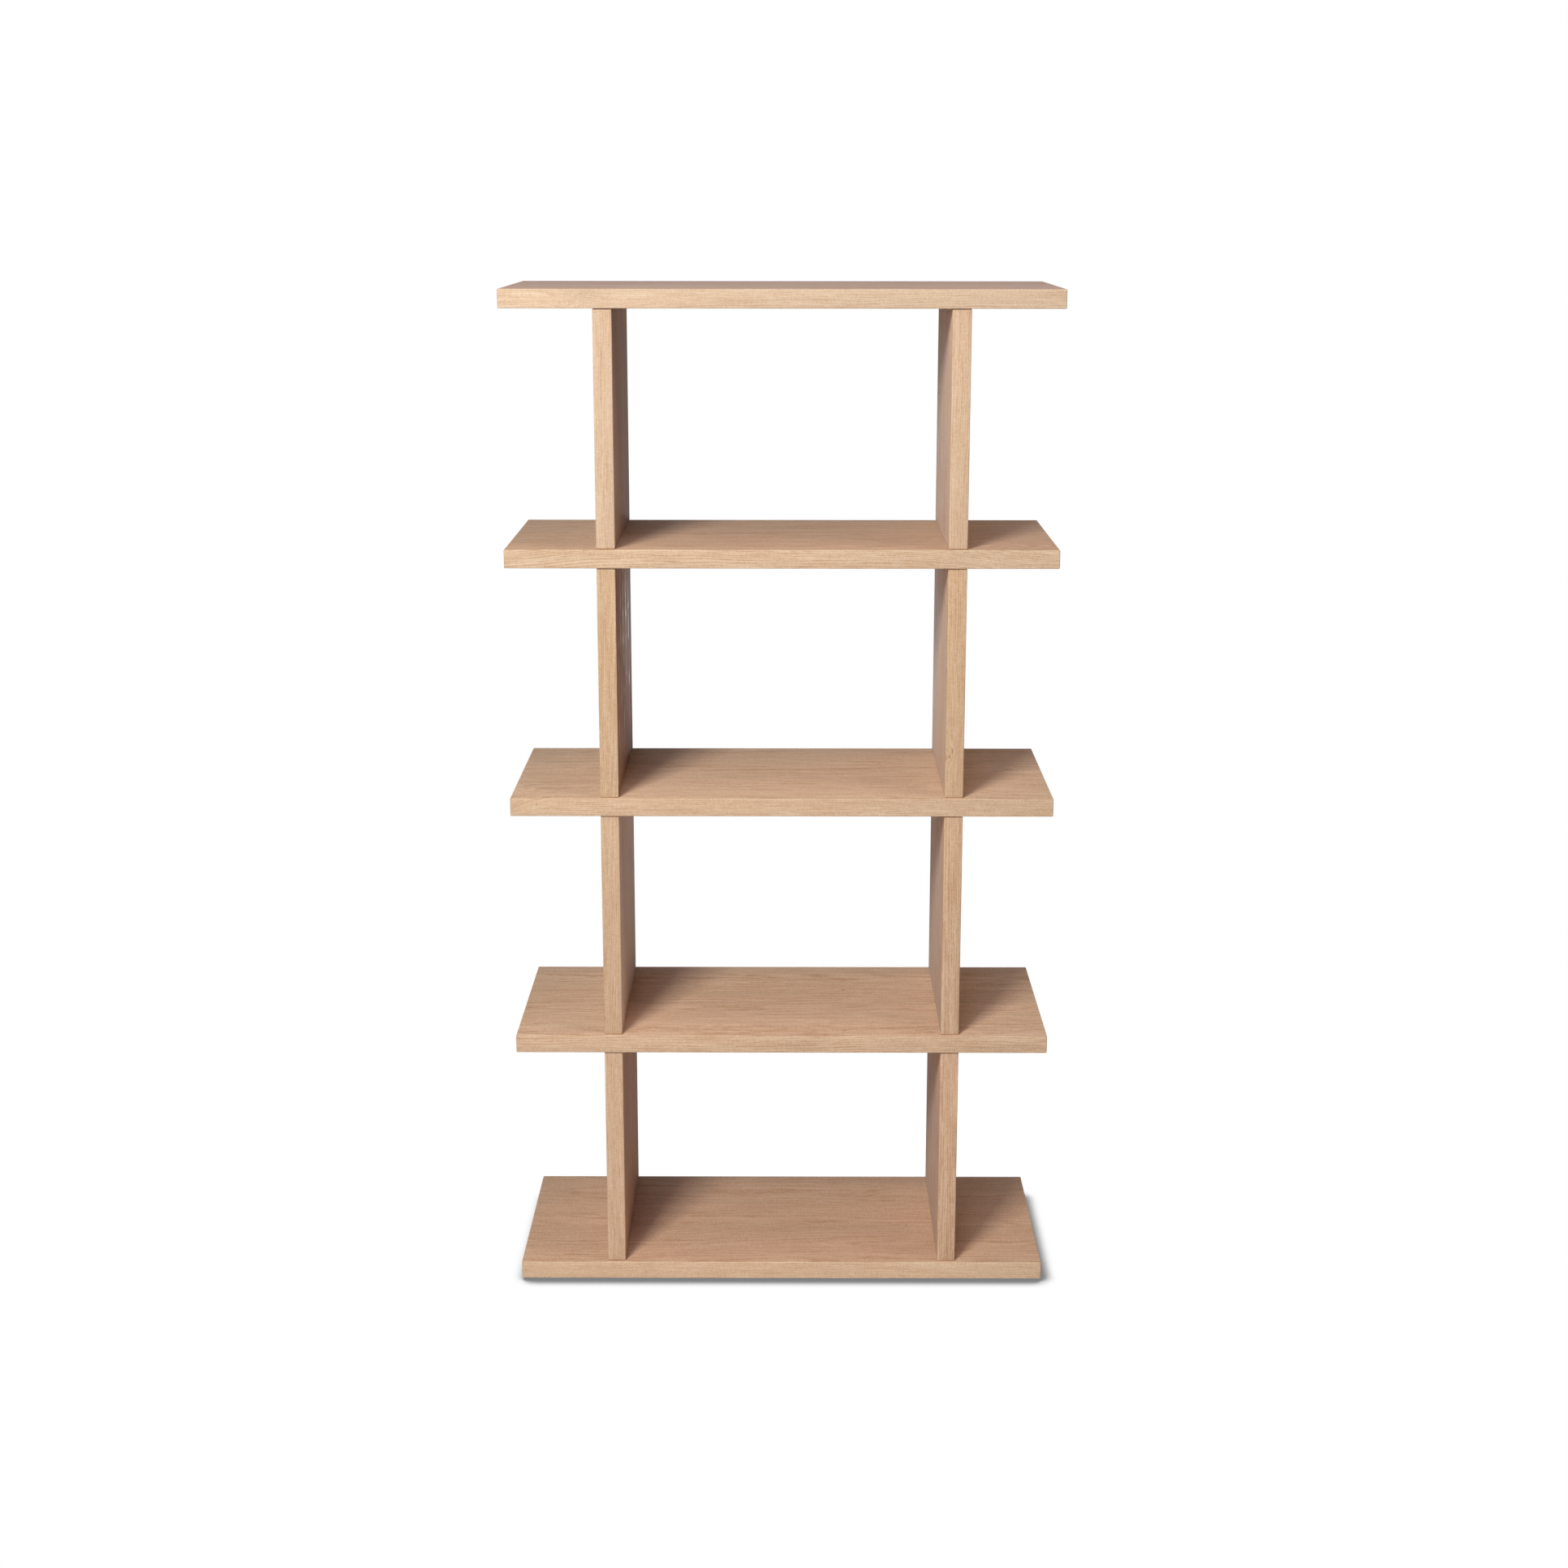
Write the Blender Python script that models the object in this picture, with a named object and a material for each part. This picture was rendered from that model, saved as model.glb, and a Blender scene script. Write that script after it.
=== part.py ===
"""An open bookcase: five shelves on four tiers of short uprights, tied together by hidden rods.

Metres, +Z up. The front faces -Y and +X is on the viewer's right. The origin is on the floor, under
the middle of the bookcase.

Each upright is bored from end to end for two tie rods. A rod's lower end screws into a flanged sleeve
nut let into the shelf that the upright stands on, and its upper end into the nut of the shelf above,
or into a blind insert under the top shelf. The bookcase goes together upside down, from the top shelf
to the base, so every nut is let in from the underside of its shelf.
"""

import math

import bmesh
import bpy
from mathutils import Vector

MM = 0.001

# Boards
BOARD_THICKNESS = 32 * MM
SHELF_WIDTH = 940 * MM
SHELF_DEPTH = 400 * MM
COMPARTMENT_HEIGHT = 400 * MM
SHELF_OVERHANG = 156 * MM
UPRIGHT_SETBACK = 5 * MM
ARRIS_RADIUS = 2 * MM
SHELF_NAMES = ["base_shelf", "lower_shelf", "middle_shelf", "upper_shelf", "top_shelf"]
TIER_COUNT = len(SHELF_NAMES) - 1

# Tie rods
ROD_DIAMETER = 8 * MM
ROD_EDGE_DISTANCE = 75 * MM
ROD_TIP_CHAMFER = 1 * MM
ROD_HOLE_SLACK = 1 * MM

# Sleeve nuts, and how deep they and the inserts lie in their shelves
FASTENER_RECESS = 0.5 * MM
NUT_TOP_DEPTH = 1 * MM
NUT_WALL = 1.3 * MM
FLANGE_THICKNESS = 3 * MM
FLANGE_RIM = 6 * MM
DRIVE_LEDGE = 0.7 * MM
DRIVE_DEPTH = 5 * MM
ROD_END_SPACING = 5 * MM

# Blind inserts
INSERT_WALL = 2.5 * MM
INSERT_TIP_ROOM = 2 * MM

# Glides
GLIDE_DIAMETER = 30 * MM
GLIDE_HEIGHT = 5 * MM
GLIDE_CHAMFER = 1 * MM
GLIDE_EDGE_DISTANCE = 50 * MM
STEM_DIAMETER = 8 * MM
STEM_LENGTH = 20 * MM
STEM_CHAMFER = 1 * MM

# Clearances and cuts
SEAT_GAP = 0.3 * MM
FIT_GAP = 0.3 * MM
CUT_OVERRUN = 2 * MM
MERGE_DISTANCE = 0.01 * MM

# Facets
ARRIS_SEGMENTS = 2
ROUND_SIDES = 16
HEX_SIDES = 6
SHARP_ANGLE = math.radians(40)

# Heights, from the floor up
LEVEL_PITCH = BOARD_THICKNESS + COMPARTMENT_HEIGHT
BASE_BOTTOM = GLIDE_HEIGHT + SEAT_GAP

# Places of the uprights and of their rods
UPRIGHT_DEPTH = SHELF_DEPTH - 2 * UPRIGHT_SETBACK
UPRIGHT_HEIGHT = COMPARTMENT_HEIGHT - 2 * SEAT_GAP
UPRIGHT_OFFSET = SHELF_WIDTH / 2 - SHELF_OVERHANG - BOARD_THICKNESS / 2
ROD_OFFSET = UPRIGHT_DEPTH / 2 - ROD_EDGE_DISTANCE
GLIDE_X = SHELF_WIDTH / 2 - GLIDE_EDGE_DISTANCE
GLIDE_Y = SHELF_DEPTH / 2 - GLIDE_EDGE_DISTANCE

# Sizes of the nut, and how far the rods reach into it from each end
ROD_RADIUS = ROD_DIAMETER / 2
THREAD_RADIUS = ROD_RADIUS + FIT_GAP
DRIVE_FLAT_RADIUS = THREAD_RADIUS + DRIVE_LEDGE
DRIVE_CORNER_RADIUS = DRIVE_FLAT_RADIUS / math.cos(math.pi / HEX_SIDES)
NUT_RADIUS = DRIVE_CORNER_RADIUS + NUT_WALL
FLANGE_RADIUS = NUT_RADIUS + FLANGE_RIM
NUT_LENGTH = BOARD_THICKNESS - FASTENER_RECESS - NUT_TOP_DEPTH
ROD_GRIP = (NUT_LENGTH - DRIVE_DEPTH - ROD_END_SPACING) / 2
ROD_REACH_DOWN = NUT_TOP_DEPTH + ROD_GRIP
ROD_REACH_UP = FASTENER_RECESS + DRIVE_DEPTH + ROD_GRIP
ROD_LENGTH = COMPARTMENT_HEIGHT + ROD_REACH_DOWN + ROD_REACH_UP

# Sizes of the insert
INSERT_RADIUS = THREAD_RADIUS + INSERT_WALL
INSERT_LENGTH = ROD_REACH_UP + INSERT_TIP_ROOM - FASTENER_RECESS

# Colours of the finishes, as roughness and metallic values with them
OAK_SHELF = ("shelf_oak", (0.62, 0.43, 0.28), 0.55, 0.0)
OAK_UPRIGHT = ("upright_oak", (0.60, 0.41, 0.26), 0.55, 0.0)
ZINC_ROD = ("rod_zinc", (0.62, 0.63, 0.64), 0.35, 1.0)
STEEL_NUT = ("nut_steel", (0.56, 0.56, 0.55), 0.30, 1.0)
BRASS_INSERT = ("insert_brass", (0.72, 0.52, 0.24), 0.35, 1.0)
NYLON_GLIDE = ("glide_nylon", (0.16, 0.14, 0.13), 0.60, 0.0)

SIDES = (("left", -1), ("right", 1))
ENDS = (("front", -1), ("back", 1))


def clear_scene():
    for old in list(bpy.data.objects):
        bpy.data.objects.remove(old)


def make_material(finish):
    name, colour, roughness, metallic = finish
    material = bpy.data.materials.new(name)
    material.use_nodes = True
    shader = material.node_tree.nodes["Principled BSDF"]
    shader.inputs["Base Color"].default_value = (*colour, 1.0)
    shader.inputs["Roughness"].default_value = roughness
    shader.inputs["Metallic"].default_value = metallic
    return material


def finish_mesh(bm, name, smooth):
    """Turn a bmesh into a mesh with its faces pointing out."""
    bmesh.ops.remove_doubles(bm, verts=bm.verts, dist=MERGE_DISTANCE)
    bmesh.ops.recalc_face_normals(bm, faces=bm.faces)
    mesh = bpy.data.meshes.new(name)
    bm.to_mesh(mesh)
    bm.free()
    if smooth:
        mesh.shade_smooth()
        mesh.set_sharp_from_angle(angle=SHARP_ANGLE)
    return mesh


def board_mesh(name, width, depth, height):
    """A board about its own centre, with all twelve edges eased to the arris radius."""
    bm = bmesh.new()
    bmesh.ops.create_cube(bm, size=1.0)
    bmesh.ops.scale(bm, vec=(width, depth, height), verts=bm.verts)
    bmesh.ops.bevel(
        bm,
        geom=bm.edges[:],
        affect="EDGES",
        offset=ARRIS_RADIUS,
        segments=ARRIS_SEGMENTS,
        profile=0.5,
        material=-1,
    )
    return finish_mesh(bm, name, smooth=False)


def turned_mesh(name, profile, sides=ROUND_SIDES, closed=False):
    """Spin a profile of (radius, height) points about Z.

    A solid's profile runs from the axis at the bottom to the axis at the top. A tube's profile is
    closed, and goes up the outside and down the bore.
    """
    bm = bmesh.new()
    points = [bm.verts.new((radius, 0, height)) for radius, height in profile]
    edges = [bm.edges.new(pair) for pair in zip(points, points[1:])]
    if closed:
        edges.append(bm.edges.new((points[-1], points[0])))
    bmesh.ops.spin(
        bm,
        geom=points + edges,
        axis=(0, 0, 1),
        cent=(0, 0, 0),
        steps=sides,
        angle=2 * math.pi,
        use_merge=True,
    )
    return finish_mesh(bm, name, smooth=True)


def cylinder_profile(radius, bottom, top):
    return [(0, bottom), (radius, bottom), (radius, top), (0, top)]


def joined_mesh(name, placed_meshes):
    """Put copies of meshes that don't touch into one mesh, for cutting several bores at once."""
    bm = bmesh.new()
    for mesh, place in placed_meshes:
        first_new = len(bm.verts)
        bm.from_mesh(mesh)
        bm.verts.ensure_lookup_table()
        bmesh.ops.translate(bm, vec=Vector(place), verts=bm.verts[first_new:])
    joined = bpy.data.meshes.new(name)
    bm.to_mesh(joined)
    bm.free()
    return joined


def cut_mesh(name, body_mesh, cutter_mesh, smooth=False):
    """Cut one mesh with another and return the result as a mesh that several objects can share."""
    body = bpy.data.objects.new(name + "_blank", body_mesh)
    cutter = bpy.data.objects.new(name + "_cutter", cutter_mesh)
    for temporary in (body, cutter):
        bpy.context.scene.collection.objects.link(temporary)
    cutter.hide_render = True
    cutter.display_type = "WIRE"
    cut = body.modifiers.new("cut", "BOOLEAN")
    cut.operation = "DIFFERENCE"
    cut.solver = "EXACT"
    cut.object = cutter
    evaluated = body.evaluated_get(bpy.context.evaluated_depsgraph_get())
    result = bpy.data.meshes.new_from_object(evaluated)
    result.name = name
    for temporary in (body, cutter):
        bpy.data.objects.remove(temporary)
    if smooth:
        result.shade_smooth()
        result.set_sharp_from_angle(angle=SHARP_ANGLE)
    return result


def add_empty(name, parent, height):
    empty = bpy.data.objects.new(name, None)
    bpy.context.scene.collection.objects.link(empty)
    empty.parent = parent
    empty.location = (0, 0, height)
    return empty


def add_piece(name, mesh, parent, place):
    piece = bpy.data.objects.new(name, mesh)
    bpy.context.scene.collection.objects.link(piece)
    piece.parent = parent
    piece.location = place
    return piece


def rod_places(height):
    """The four rod axes of one level, named, at a height above that level."""
    for side, side_sign in SIDES:
        for end, end_sign in ENDS:
            place = (side_sign * UPRIGHT_OFFSET, end_sign * ROD_OFFSET, height)
            yield f"{side}_{end}", place


def glide_places(height):
    """The four glide axes under the base shelf, named, at a height above its underside."""
    for side, side_sign in SIDES:
        for end, end_sign in ENDS:
            place = (side_sign * GLIDE_X, end_sign * GLIDE_Y, height)
            yield f"{side}_{end}", place


def nut_bore_mesh():
    """A stepped bore for one sleeve nut, measured up from the underside of its shelf."""
    counterbore_radius = FLANGE_RADIUS + FIT_GAP
    counterbore_top = FASTENER_RECESS + FLANGE_THICKNESS + SEAT_GAP
    hole_radius = NUT_RADIUS + FIT_GAP
    profile = [
        (0, -CUT_OVERRUN),
        (counterbore_radius, -CUT_OVERRUN),
        (counterbore_radius, counterbore_top),
        (hole_radius, counterbore_top),
        (hole_radius, BOARD_THICKNESS + CUT_OVERRUN),
        (0, BOARD_THICKNESS + CUT_OVERRUN),
    ]
    return turned_mesh("nut_bore", profile)


def insert_bore_mesh():
    """A blind bore for one insert, measured up from the underside of the top shelf."""
    radius = INSERT_RADIUS + FIT_GAP
    depth = FASTENER_RECESS + INSERT_LENGTH + SEAT_GAP
    return turned_mesh("insert_bore", cylinder_profile(radius, -CUT_OVERRUN, depth))


def stem_bore_mesh():
    """A blind bore for one glide's stem, measured up from the underside of the base shelf."""
    radius = STEM_DIAMETER / 2 + FIT_GAP
    return turned_mesh("stem_bore", cylinder_profile(radius, -CUT_OVERRUN, STEM_LENGTH))


def shelf_mesh(name, bores):
    blank = board_mesh(name + "_board", SHELF_WIDTH, SHELF_DEPTH, BOARD_THICKNESS)
    return cut_mesh(name, blank, joined_mesh(name + "_bores", bores))


def shelf_meshes():
    """The three kinds of shelf: base, intermediate and top."""
    underside = -BOARD_THICKNESS / 2
    nut_bore = nut_bore_mesh()
    insert_bore = insert_bore_mesh()
    stem_bore = stem_bore_mesh()
    nut_bores = [(nut_bore, place) for _, place in rod_places(underside)]
    insert_bores = [(insert_bore, place) for _, place in rod_places(underside)]
    stem_bores = [(stem_bore, place) for _, place in glide_places(underside)]
    base = shelf_mesh("base_shelf", nut_bores + stem_bores)
    intermediate = shelf_mesh("intermediate_shelf", nut_bores)
    top = shelf_mesh("top_shelf", insert_bores)
    return [base] + [intermediate] * (TIER_COUNT - 1) + [top]


def upright_mesh():
    """An upright about its own centre, bored from end to end for its two rods."""
    blank = board_mesh("upright_board", BOARD_THICKNESS, UPRIGHT_DEPTH, UPRIGHT_HEIGHT)
    half_cut = UPRIGHT_HEIGHT / 2 + CUT_OVERRUN
    radius = ROD_RADIUS + ROD_HOLE_SLACK
    bore = turned_mesh("rod_bore", cylinder_profile(radius, -half_cut, half_cut))
    bores = [(bore, (0, end_sign * ROD_OFFSET, 0)) for _, end_sign in ENDS]
    return cut_mesh("upright", blank, joined_mesh("upright_bores", bores))


def rod_mesh():
    """A tie rod with chamfered tips, measured up from its lower end."""
    tip_radius = ROD_RADIUS - ROD_TIP_CHAMFER
    profile = [
        (0, 0),
        (tip_radius, 0),
        (ROD_RADIUS, ROD_TIP_CHAMFER),
        (ROD_RADIUS, ROD_LENGTH - ROD_TIP_CHAMFER),
        (tip_radius, ROD_LENGTH),
        (0, ROD_LENGTH),
    ]
    return turned_mesh("tie_rod", profile)


def nut_mesh():
    """A sleeve nut, measured up from the lower face of its flange, where its hexagon drive opens."""
    profile = [
        (THREAD_RADIUS, 0),
        (FLANGE_RADIUS, 0),
        (FLANGE_RADIUS, FLANGE_THICKNESS),
        (NUT_RADIUS, FLANGE_THICKNESS),
        (NUT_RADIUS, NUT_LENGTH),
        (THREAD_RADIUS, NUT_LENGTH),
    ]
    blank = turned_mesh("nut_blank", profile, closed=True)
    drive_profile = cylinder_profile(DRIVE_CORNER_RADIUS, -CUT_OVERRUN, DRIVE_DEPTH)
    drive = turned_mesh("nut_drive", drive_profile, sides=HEX_SIDES)
    return cut_mesh("sleeve_nut", blank, drive, smooth=True)


def insert_mesh():
    """A threaded insert, measured up from its mouth."""
    profile = [
        (THREAD_RADIUS, 0),
        (INSERT_RADIUS, 0),
        (INSERT_RADIUS, INSERT_LENGTH),
        (THREAD_RADIUS, INSERT_LENGTH),
    ]
    return turned_mesh("insert", profile, closed=True)


def glide_mesh():
    """A glide: a disc that stands on the floor, and a stem that is pressed into the base shelf."""
    disc_radius = GLIDE_DIAMETER / 2
    stem_radius = STEM_DIAMETER / 2
    stem_top = GLIDE_HEIGHT + STEM_LENGTH
    profile = [
        (0, 0),
        (disc_radius - GLIDE_CHAMFER, 0),
        (disc_radius, GLIDE_CHAMFER),
        (disc_radius, GLIDE_HEIGHT),
        (stem_radius, GLIDE_HEIGHT),
        (stem_radius, stem_top - STEM_CHAMFER),
        (stem_radius - STEM_CHAMFER, stem_top),
        (0, stem_top),
    ]
    return turned_mesh("glide", profile)


def build_shelves(levels, material):
    """One shelf on each level. A level is at the underside of its shelf."""
    for name, mesh, level in zip(SHELF_NAMES, shelf_meshes(), levels):
        if not mesh.materials:
            mesh.materials.append(material)
        add_piece(name, mesh, level, (0, 0, BOARD_THICKNESS / 2))


def build_uprights(levels, material):
    mesh = upright_mesh()
    mesh.materials.append(material)
    centre = BOARD_THICKNESS + COMPARTMENT_HEIGHT / 2
    for tier, level in enumerate(levels[:-1], start=1):
        for side, side_sign in SIDES:
            place = (side_sign * UPRIGHT_OFFSET, 0, centre)
            add_piece(f"{side}_upright_tier_{tier}", mesh, level, place)


def build_rods(levels, material):
    mesh = rod_mesh()
    mesh.materials.append(material)
    for tier, level in enumerate(levels[:-1], start=1):
        for corner, place in rod_places(BOARD_THICKNESS - ROD_REACH_DOWN):
            add_piece(f"tie_rod_{corner}_tier_{tier}", mesh, level, place)


def build_nuts(levels, material):
    mesh = nut_mesh()
    mesh.materials.append(material)
    for shelf_name, level in zip(SHELF_NAMES, levels[:-1]):
        for corner, place in rod_places(FASTENER_RECESS):
            add_piece(f"{shelf_name}_nut_{corner}", mesh, level, place)


def build_inserts(top_level, material):
    mesh = insert_mesh()
    mesh.materials.append(material)
    for corner, place in rod_places(FASTENER_RECESS):
        add_piece(f"top_shelf_insert_{corner}", mesh, top_level, place)


def build_glides(base_level, material):
    mesh = glide_mesh()
    mesh.materials.append(material)
    for corner, place in glide_places(-BASE_BOTTOM):
        add_piece(f"glide_{corner}", mesh, base_level, place)


def build_bookcase():
    clear_scene()
    bookcase = add_empty("bookcase", None, 0)
    levels = []
    for index in range(TIER_COUNT + 1):
        height = BASE_BOTTOM + index * LEVEL_PITCH
        levels.append(add_empty(f"level_{index + 1}", bookcase, height))
    build_shelves(levels, make_material(OAK_SHELF))
    build_uprights(levels, make_material(OAK_UPRIGHT))
    build_rods(levels, make_material(ZINC_ROD))
    build_nuts(levels, make_material(STEEL_NUT))
    build_inserts(levels[-1], make_material(BRASS_INSERT))
    build_glides(levels[0], make_material(NYLON_GLIDE))


build_bookcase()
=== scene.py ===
# %% [markdown]
# An open bookcase in pale oak. Five wide shelves stand on four tiers of short uprights, every edge
# is eased and no fixing is seen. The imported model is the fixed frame: it says where each board and
# each fixing is, in metres, with the front towards -Y. Everything here is built on those places.

# %% Open the frame
import math

import bmesh
import bpy
from mathutils import Matrix, Vector


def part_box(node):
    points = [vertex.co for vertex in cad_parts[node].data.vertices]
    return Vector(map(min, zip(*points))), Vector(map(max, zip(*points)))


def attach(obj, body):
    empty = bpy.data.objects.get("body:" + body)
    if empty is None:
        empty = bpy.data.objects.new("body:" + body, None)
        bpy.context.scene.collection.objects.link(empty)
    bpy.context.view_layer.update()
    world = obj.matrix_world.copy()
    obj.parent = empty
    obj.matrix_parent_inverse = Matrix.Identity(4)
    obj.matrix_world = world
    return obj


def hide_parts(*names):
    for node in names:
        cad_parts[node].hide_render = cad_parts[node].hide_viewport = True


MM = 0.001
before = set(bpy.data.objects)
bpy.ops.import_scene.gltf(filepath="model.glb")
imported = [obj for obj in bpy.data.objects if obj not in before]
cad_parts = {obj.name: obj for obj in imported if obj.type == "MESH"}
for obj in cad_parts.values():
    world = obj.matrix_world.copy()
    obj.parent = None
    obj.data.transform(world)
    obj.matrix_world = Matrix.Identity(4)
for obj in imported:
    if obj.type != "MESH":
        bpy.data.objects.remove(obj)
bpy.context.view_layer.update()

# %% [markdown]
# The photograph looks straight at the front from a little above the top shelf, so each top shows a
# bit more than the one above it. A lens of 56 mm on a 36 mm sensor keeps the uprights almost
# parallel. The camera's place was found by fitting the corners of the boards.

# %% Camera
CAMERA_PLACE = Vector((0.01165, -4.29704, 1.90749))
CAMERA_LENS = 56.04
LOOK_DOWN = math.radians(13.454)
TURN_LEFT = math.radians(0.108)
ROLL = math.radians(0.051)

camera_data = bpy.data.cameras.new("camera")
camera_data.sensor_width = 36
camera_data.lens = CAMERA_LENS
camera = bpy.data.objects.new("camera", camera_data)
bpy.context.scene.collection.objects.link(camera)
facing = Matrix.Rotation(TURN_LEFT, 3, "Z") @ Matrix.Rotation(math.pi / 2 - LOOK_DOWN, 3, "X")
camera.location = CAMERA_PLACE
camera.rotation_euler = (facing @ Matrix.Rotation(ROLL, 3, "Z")).to_euler()
bpy.context.scene.camera = camera
bpy.context.scene.view_settings.view_transform = "Standard"
print("camera at", CAMERA_PLACE, "with a lens of", CAMERA_LENS, "mm")

# %% [markdown]
# A finish is a tree of shader nodes. Two small classes keep it readable. A Wire is one output of a
# node, and Python's own + - * / on wires add the Math nodes. A Finish is a material in the making,
# and its one method `node` adds any other node: its type, its settings, then its sockets.

# %% Wires and finishes
class Wire:
    """One output of a shader node, for use in sums."""

    def __init__(self, finish, socket):
        self.finish = finish
        self.socket = socket

    def __add__(self, other):
        return self.finish.maths("ADD", self, other)

    def __sub__(self, other):
        return self.finish.maths("SUBTRACT", self, other)

    def __rsub__(self, other):
        return self.finish.maths("SUBTRACT", other, self)

    def __mul__(self, other):
        return self.finish.maths("MULTIPLY", self, other)

    def __truediv__(self, other):
        return self.finish.maths("DIVIDE", self, other)

    def __abs__(self):
        return self.finish.maths("ABSOLUTE", self)

    __radd__ = __add__
    __rmul__ = __mul__


class Finish:
    """A material in the making, or the world, where one is given."""

    def __init__(self, name, world=None):
        self.owner = world or bpy.data.materials.new(name)
        self.owner.use_nodes = True
        self.tree = self.owner.node_tree
        self.tree.nodes.clear()

    def node(self, kind, settings, sockets, output=0):
        made = self.tree.nodes.new(kind)
        for key, value in settings.items():
            setattr(made, key, value)
        for key, value in sockets.items():
            if isinstance(value, Wire):
                self.tree.links.new(value.socket, made.inputs[key])
            else:
                made.inputs[key].default_value = value
        return Wire(self, made.outputs[output]) if made.outputs else None

    def maths(self, operation, *values):
        return self.node("ShaderNodeMath", {"operation": operation}, dict(enumerate(values)))

    def vector(self, operation, *values, output="Vector"):
        kind = "ShaderNodeVectorMath"
        return self.node(kind, {"operation": operation}, dict(enumerate(values)), output)

    def scaled(self, vector, factor):
        sockets = {"Vector": vector, "Scale": factor}
        return self.node("ShaderNodeVectorMath", {"operation": "SCALE"}, sockets)

    def split(self, vector):
        """The three parts of a vector or a colour."""
        first = self.node("ShaderNodeSeparateXYZ", {}, {"Vector": vector})
        return [Wire(self, part) for part in first.socket.node.outputs]

    def joined(self, x, y, z):
        return self.node("ShaderNodeCombineXYZ", {}, {"X": x, "Y": y, "Z": z})

    def rise(self, value, start, end):
        """0 before start and 1 after end, with a soft step between them."""
        settings = {"interpolation_type": "SMOOTHSTEP"}
        sockets = {"Value": value, "From Min": start, "From Max": end}
        return self.node("ShaderNodeMapRange", settings, sockets)

    def mixed(self, factor, first, second, blend="MIX"):
        """Two colours mixed."""
        settings = {"data_type": "RGBA", "blend_type": blend}
        return self.node("ShaderNodeMix", settings, {0: factor, 6: first, 7: second}, 2)

    def noise(self, place, stretch, detail=2.0, output="Fac"):
        """Cloudy noise with 1 / stretch as the size of its lumps in each direction."""
        stretched = self.vector("MULTIPLY", place, stretch)
        sockets = {"Vector": stretched, "Scale": 1.0, "Detail": detail, "Roughness": 0.5}
        return self.node("ShaderNodeTexNoise", {}, sockets, output)

    def looked_at(self):
        """1 for what the camera sees straight, in a mirror or through glass, and 0 for light."""
        rays = ("Is Camera Ray", "Is Glossy Ray", "Is Transmission Ray")
        camera_ray, glossy_ray, clear_ray = [self.node("ShaderNodeLightPath", {}, {}, r) for r in rays]
        return self.maths("MAXIMUM", self.maths("MAXIMUM", camera_ray, glossy_ray), clear_ray)

    def done(self, shader, kind="ShaderNodeOutputMaterial"):
        self.node(kind, {}, {"Surface": shader})
        return self.owner


def linear(red, green, blue):
    """A colour as a picture shows it, from 0 to 255, turned into the light it gives back."""
    shares = [level / 255 for level in (red, green, blue)]
    return tuple(((share + 0.055) / 1.055) ** 2.4 for share in shares) + (1.0,)


print("ready to mix finishes")

# %% [markdown]
# The room is a white studio. One wide soft light stands in front to the left, well above head
# height, and throws soft shadows back and to the right. A cooler one beside it fills them, and the
# ceiling gives a little warm light back. Three low lights keep the sides and the back from going
# black. Each stands square to its own side, so that it hardly reaches what the front shows.

# %% Studio light
AIM = Vector((0, 0, 0.9))


def softbox(name, place, width, height, power, colour=(1.0, 1.0, 1.0)):
    data = bpy.data.lights.new(name, "AREA")
    data.shape = "RECTANGLE"
    data.size = width
    data.size_y = height
    data.energy = power
    data.color = colour
    light = bpy.data.objects.new(name, data)
    bpy.context.scene.collection.objects.link(light)
    light.location = place
    light.rotation_euler = (AIM - Vector(place)).to_track_quat("-Z", "Y").to_euler()
    return power


key = softbox("key", (-1.6, -3.8, 3.6), 1.1, 1.3, 193, (1.0, 0.975, 0.91))
fill = softbox("fill", (-0.8, -3.8, 2.8), 1.2, 1.2, 49, (0.66, 0.72, 1.0))
ceiling = softbox("ceiling", (2.0, -1.2, 4.2), 1.2, 1.2, 28, (1.0, 0.81, 0.75))
left = softbox("left", (-4.0, 0.0, 0.4), 0.5, 0.5, 6)
right = softbox("right", (4.0, 0.0, 0.4), 0.5, 0.5, 12)
rear = softbox("rear", (0.0, 4.5, 0.4), 0.5, 0.5, 15)
print("softboxes:", key + fill + ceiling + left + right + rear, "W")

# %% [markdown]
# The background is plain white, as in the photograph. The world is white only to the camera and to
# reflections, and gives the object next to no light.

# %% Air and background
AIR_COLOUR = (0.005, 0.005, 0.006, 1.0)
WHITE = (1.0, 1.0, 1.0, 1.0)

studio = bpy.data.worlds.new("studio")
bpy.context.scene.world = studio
air = Finish("air", world=studio)
air_colour = air.mixed(air.looked_at(), AIR_COLOUR, WHITE)
air_light = air.node("ShaderNodeBackground", {}, {"Color": air_colour}, "Background")
air.done(air_light, "ShaderNodeOutputWorld")
print("air", AIR_COLOUR[:3])

# %% [markdown]
# The floor is a white sweep. To the camera it is plain white, but it keeps the dark line of contact
# under the base: the less of the sky a point of the floor sees near by, the darker it is. The look
# is leaned to the left, towards the light, so that the line is broader on the right.

# %% Floor
FLOOR_SIZE = 30.0
CONTACT_REACH = 35 * MM
CONTACT_LEAN = (-0.35, 0.0, 0.94)
CONTACT_WHITE = 0.22
MATT_WHITE = (0.8, 0.8, 0.8, 1.0)

bm = bmesh.new()
bmesh.ops.create_grid(bm, x_segments=1, y_segments=1, size=FLOOR_SIZE / 2)
floor_mesh = bpy.data.meshes.new("floor")
bm.to_mesh(floor_mesh)
bm.free()
floor = bpy.data.objects.new("floor", floor_mesh)
bpy.context.scene.collection.objects.link(floor)

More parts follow.
